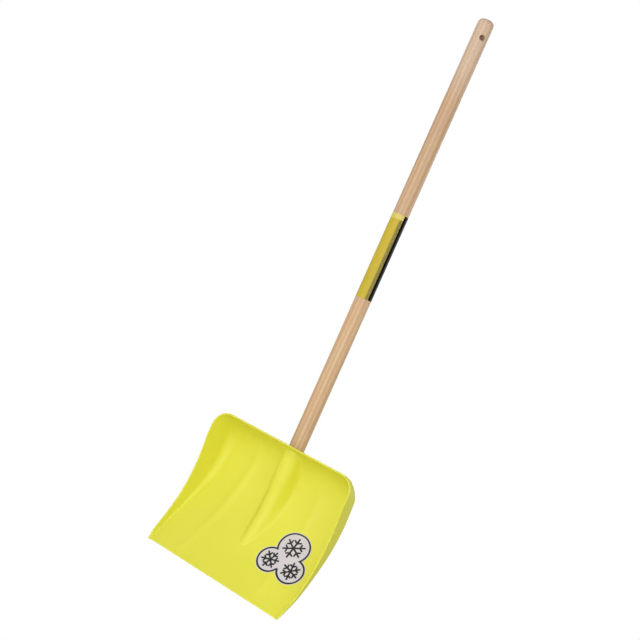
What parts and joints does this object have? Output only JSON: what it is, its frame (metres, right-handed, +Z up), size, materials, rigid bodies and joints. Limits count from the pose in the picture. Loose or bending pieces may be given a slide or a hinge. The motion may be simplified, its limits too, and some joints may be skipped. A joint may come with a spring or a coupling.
{
  "type": "children's snow pusher",
  "caption": "Small hand pusher for snow: a moulded plastic scoop with side walls, a curled top rim and a tapered socket ridge, on a straight round wooden handle with a hang hole.",
  "frame": {"origin": "middle of the hang hole, on the handle's axis", "axes": "+Z up along the handle's axis, away from the scoop; the scoop opens towards -Y; +X is to the right seen from the scoop's open side"},
  "size_m": [0.262, 0.1013, 0.9178],
  "materials": {
    "blade_plastic": "moulded polypropylene, yellow through and through, satin",
    "handle_wood": "turned pale hardwood, sanded, grain along the length, thin clear lacquer",
    "label_film": "printed film, yellow, olive and black fields",
    "sticker_film": "silver-grey printed film with black line drawing",
    "screw_steel": "zinc plated"
  },
  "bodies": {
    "root": {"blade": "blade_plastic", "handle": "handle_wood", "handle_label": "label_film", "blade_sticker": "sticker_film", "fixing_screw": "screw_steel"}
  },
  "joints": []
}
